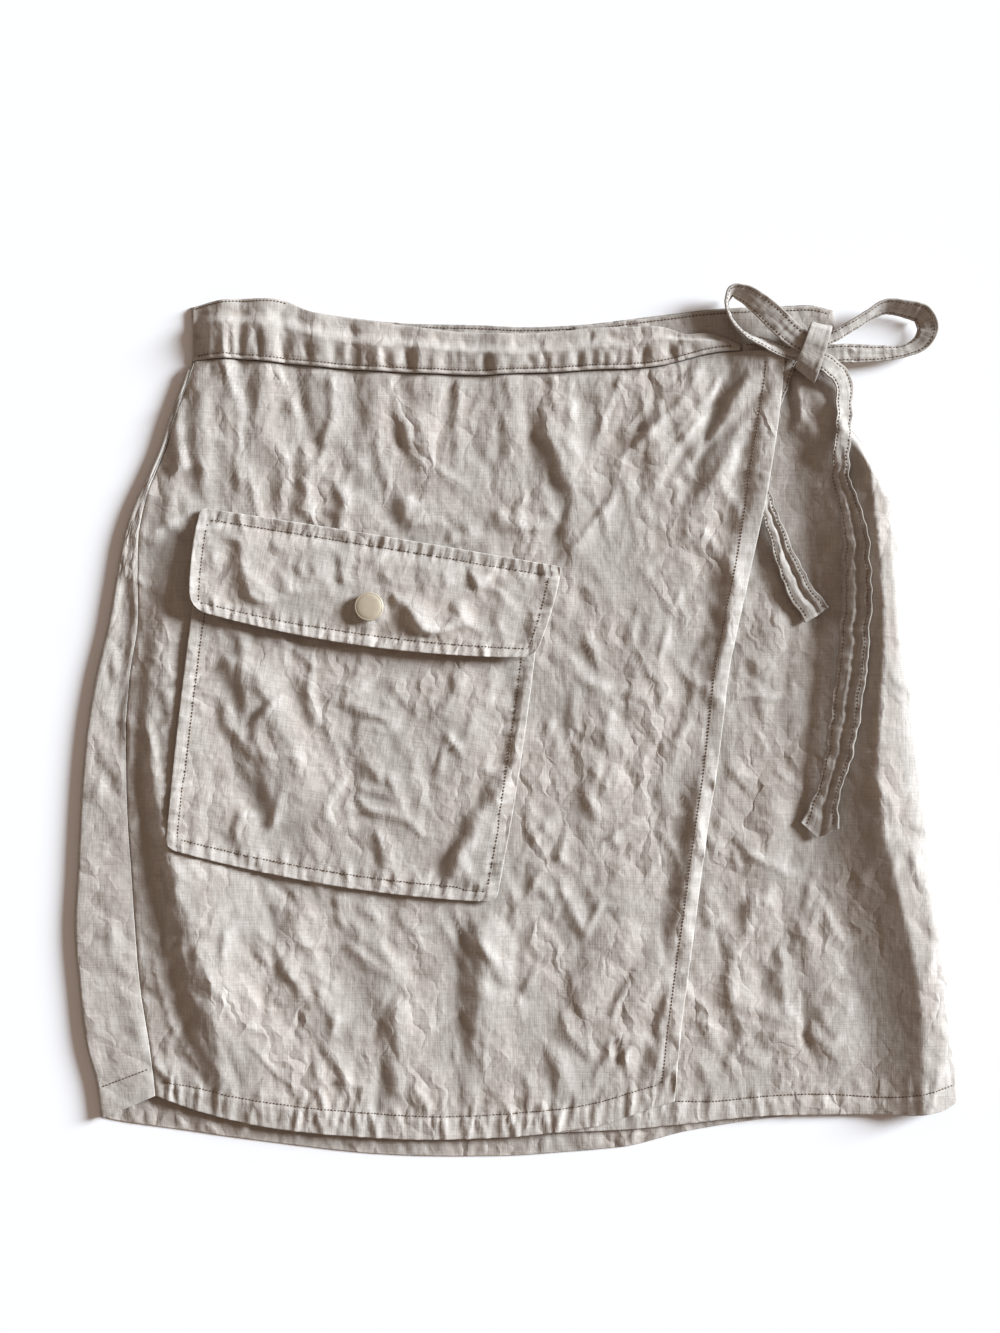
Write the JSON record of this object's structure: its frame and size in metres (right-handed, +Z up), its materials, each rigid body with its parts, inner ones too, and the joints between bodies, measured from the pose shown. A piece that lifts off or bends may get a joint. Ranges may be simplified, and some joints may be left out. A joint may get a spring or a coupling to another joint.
{
  "type": "wrap mini skirt",
  "caption": "Short wrap skirt laid flat: overlapping front, tied bow at the waist, flap pocket closed by a snap.",
  "frame": {"origin": "centre of the skirt's outline, on the table that it lies on", "axes": "+X towards the wearer's left, where the bow is; +Y towards the waist; +Z up off the table, out of the front"},
  "size_m": [0.466, 0.458, 0.0159],
  "materials": {
    "linen_front": "washed linen and cotton, matte",
    "linen_back": "washed linen and cotton, wrong side",
    "linen_tie": "washed linen and cotton, turned straps",
    "snap_metal": "pale lacquered brass, satin"
  },
  "bodies": {
    "root": {"back_panel": "linen_back", "underlap_front": "linen_front", "overlap_front": "linen_front", "back_waistband": "linen_back", "underlap_waistband": "linen_back", "front_waistband": "linen_front", "pocket": "linen_front", "pocket_flap": "linen_front", "snap_cap": "snap_metal", "snap_stud": "snap_metal", "tie_root": "linen_tie", "tie_knot": "linen_tie", "tie_loop_left": "linen_tie", "tie_loop_right": "linen_tie", "tie_tail_long": "linen_tie", "tie_tail_short": "linen_tie"}
  },
  "joints": []
}
